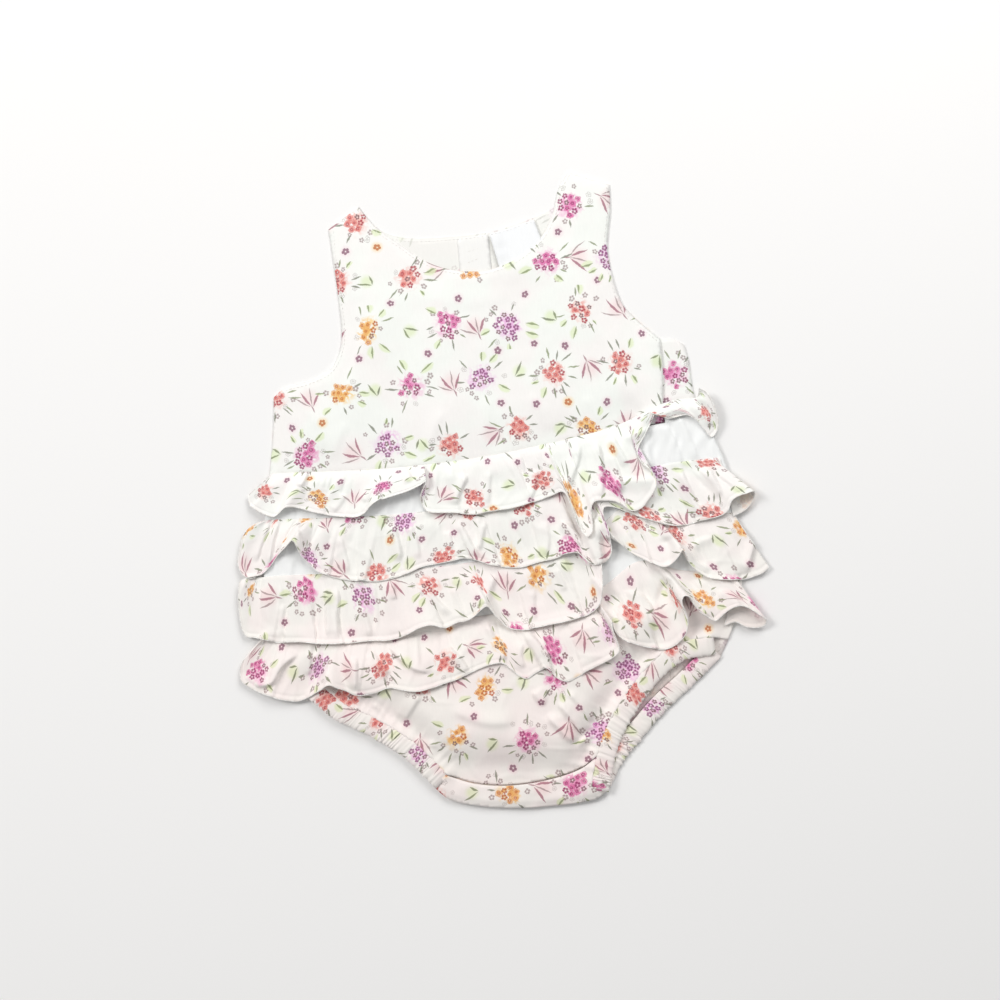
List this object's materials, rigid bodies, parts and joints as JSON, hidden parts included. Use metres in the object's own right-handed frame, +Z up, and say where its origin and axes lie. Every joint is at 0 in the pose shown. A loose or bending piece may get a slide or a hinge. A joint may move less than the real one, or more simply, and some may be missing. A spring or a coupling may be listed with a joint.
{
  "type": "baby romper",
  "caption": "Sleeveless baby romper of printed cotton with gathered ruffle tiers across the front and elasticated legs, laid flat with its front up.",
  "frame": {"origin": "on the surface the garment lies on, under the centre of the laid garment's box", "axes": "+Y from the crotch to the shoulders, +X across it, to the right as it is seen from above, +Z up from the surface"},
  "size_m": [0.3352, 0.3922, 0.0122],
  "materials": {
    "print": "printed cotton",
    "white": "plain cotton",
    "label": "woven label"
  },
  "bodies": {
    "root": {"back": "print", "front_bodice": "print", "front_base": "white", "bloomer_front": "print", "crotch_band": "print", "ruffle_1": "print", "ruffle_2": "print", "ruffle_3": "print", "ruffle_4": "print", "leg_band_front_left": "print", "leg_band_front_right": "print", "leg_band_back_left": "print", "leg_band_back_right": "print", "back_placket": "white", "neck_label": "label"}
  },
  "joints": []
}
